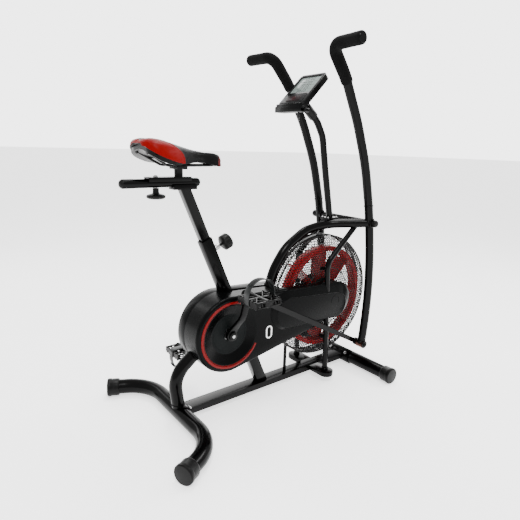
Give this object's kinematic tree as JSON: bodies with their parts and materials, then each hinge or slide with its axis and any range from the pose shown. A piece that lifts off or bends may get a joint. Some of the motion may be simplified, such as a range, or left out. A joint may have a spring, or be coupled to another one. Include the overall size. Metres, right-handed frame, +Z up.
{
  "type": "air bike",
  "caption": "Fan-resistance exercise bike with swinging handlebars linked to the cranks, a caged fan, a chain shroud, an adjustable saddle and a tilted console on a tubular base.",
  "frame": {"origin": "on the floor under the middle of the bike, at the bottom centre of its bounding box", "axes": "+X to the rider's right, +Y forward (from the saddle to the fan), +Z up"},
  "size_m": [0.5992, 0.993, 1.1873],
  "materials": {
    "frame_paint": "gloss powder coat",
    "cap_plastic": "moulded, fine grain",
    "shroud_plastic": "satin moulded shell",
    "red_trim": "gloss",
    "fan_red": "gloss",
    "hub_grey": "moulded",
    "guard_wire": "satin",
    "zinc_steel": "zinc plated",
    "bare_steel": "oiled",
    "crank_black": "satin",
    "pedal_plastic": "moulded",
    "strap_rubber": "flexible strap",
    "foam_grip": "closed-cell foam",
    "saddle_leather": "padded synthetic leather, red side panels",
    "badge_silver": "satin",
    "console_black": "moulded",
    "console_silver": "silver paint",
    "screen_grey": "clear window over a display",
    "button_red": "gloss",
    "lead_black": "cable sheath"
  },
  "bodies": {
    "frame": {"main_beam": "frame_paint", "rear_stabilizer": "frame_paint", "front_stabilizer": "frame_paint", "stabilizer_caps": "cap_plastic", "frame_bolts": "zinc_steel", "rear_neck": "frame_paint", "bottom_bracket_shell": "frame_paint", "seat_tube": "frame_paint", "arch_tube": "frame_paint", "stay_right": "frame_paint", "stay_left": "frame_paint", "cross_plates": "frame_paint", "support_rod": "frame_paint", "pivot_crossbar": "frame_paint", "pivot_caps": "cap_plastic", "fan_axle": "zinc_steel", "crank_bearings": "bare_steel", "drive_chain": "bare_steel", "shroud_right": "shroud_plastic", "shroud_left": "shroud_plastic", "shroud_ring": "red_trim", "badge": "badge_silver", "cage_right": "guard_wire", "cage_left": "guard_wire", "console_mast": "frame_paint", "mast_sleeve": "cap_plastic", "console_body": "console_black", "console_bezel": "console_silver", "console_screen": "screen_grey", "sensor_lead": "lead_black", "pop_pin_socket": "zinc_steel"},
    "button": {"console_button": "button_red"},
    "pop_pin": {"pop_pin_knob": "cap_plastic"},
    "seat_post": {"seat_post": "frame_paint", "saddle_rail": "frame_paint", "rail_caps": "cap_plastic"},
    "saddle": {"saddle_carriage": "frame_paint", "saddle_rails": "zinc_steel", "saddle_base": "cap_plastic", "saddle_pad": "saddle_leather"},
    "clamp_knob": {"clamp_knob": "cap_plastic"},
    "crank": {"crank_spindle": "bare_steel", "drive_sprocket": "bare_steel", "crank_arm_right": "crank_black", "crank_arm_left": "crank_black", "pedal_spindles": "zinc_steel"},
    "fan": {"fan_hub": "hub_grey", "fan_wheel": "fan_red"},
    "pedal_r": {"pedal_right": "pedal_plastic", "strap_right": "strap_rubber"},
    "pedal_l": {"pedal_left": "pedal_plastic", "strap_left": "strap_rubber"},
    "handle_r": {"swing_arm_right": "frame_paint", "handlebar_right": "frame_paint", "grip_right": "foam_grip"},
    "handle_l": {"swing_arm_left": "frame_paint", "handlebar_left": "frame_paint", "grip_left": "foam_grip"},
    "link_r": {"link_right": "frame_paint"},
    "link_l": {"link_left": "frame_paint"}
  },
  "joints": [
    {"name": "crank_spin", "type": "hinge", "parent": "frame", "child": "crank", "pos_m": [0, -0.1855, 0.285], "axis": [1, 0, 0], "continuous": true},
    {"name": "fan_spin", "type": "hinge", "parent": "frame", "child": "fan", "pos_m": [0, 0.2635, 0.323], "axis": [1, 0, 0], "continuous": true},
    {"name": "pedal_r_spin", "type": "hinge", "parent": "crank", "child": "pedal_r", "pos_m": [0.17, -0.14858, 0.42212], "axis": [1, 0, 0], "continuous": true},
    {"name": "pedal_l_spin", "type": "hinge", "parent": "crank", "child": "pedal_l", "pos_m": [-0.17, -0.22243, 0.14788], "axis": [1, 0, 0], "continuous": true},
    {"name": "handle_r_swing", "type": "hinge", "parent": "frame", "child": "handle_r", "pos_m": [0.127, 0.3845, 0.606], "axis": [1, 0, 0], "range_deg": [-14, 14]},
    {"name": "handle_l_swing", "type": "hinge", "parent": "frame", "child": "handle_l", "pos_m": [-0.127, 0.3845, 0.606], "axis": [1, 0, 0], "range_deg": [-14, 14]},
    {"name": "link_r_pivot", "type": "hinge", "parent": "handle_r", "child": "link_r", "pos_m": [0.1, 0.3975, 0.128], "axis": [1, 0, 0], "range_deg": [-14, 14]},
    {"name": "link_l_pivot", "type": "hinge", "parent": "handle_l", "child": "link_l", "pos_m": [-0.1, 0.3975, 0.128], "axis": [1, 0, 0], "range_deg": [-14, 14]},
    {"name": "seat_height", "type": "slide", "parent": "frame", "child": "seat_post", "axis": [0, -0.3971, 0.9178], "range_m": [-0.1, 0.055]},
    {"name": "saddle_slide", "type": "slide", "parent": "seat_post", "child": "saddle", "axis": [0, 1, 0], "range_m": [-0.055, 0.025]},
    {"name": "clamp_turn", "type": "hinge", "parent": "saddle", "child": "clamp_knob", "pos_m": [0, -0.3925, 0.74], "axis": [0, 0, 1], "continuous": true},
    {"name": "pop_pin_pull", "type": "slide", "parent": "frame", "child": "pop_pin", "axis": [0, 0.9178, 0.3971], "range_m": [0, 0.01], "stiffness_N_per_m": 900, "springref_m": -0.005},
    {"name": "button_press", "type": "slide", "parent": "frame", "child": "button", "axis": [0, 0.7071, -0.7071], "range_m": [0, 0.0015], "stiffness_N_per_m": 500, "springref_m": -0.001}
  ],
  "couplings": [
    {"joint": "fan_spin", "follows": "crank_spin", "ratio": 3.1429},
    {"joint": "handle_l_swing", "follows": "handle_r_swing", "ratio": -1},
    {"joint": "link_r_pivot", "follows": "handle_r_swing", "ratio": -1},
    {"joint": "link_l_pivot", "follows": "handle_r_swing", "ratio": 1}
  ]
}
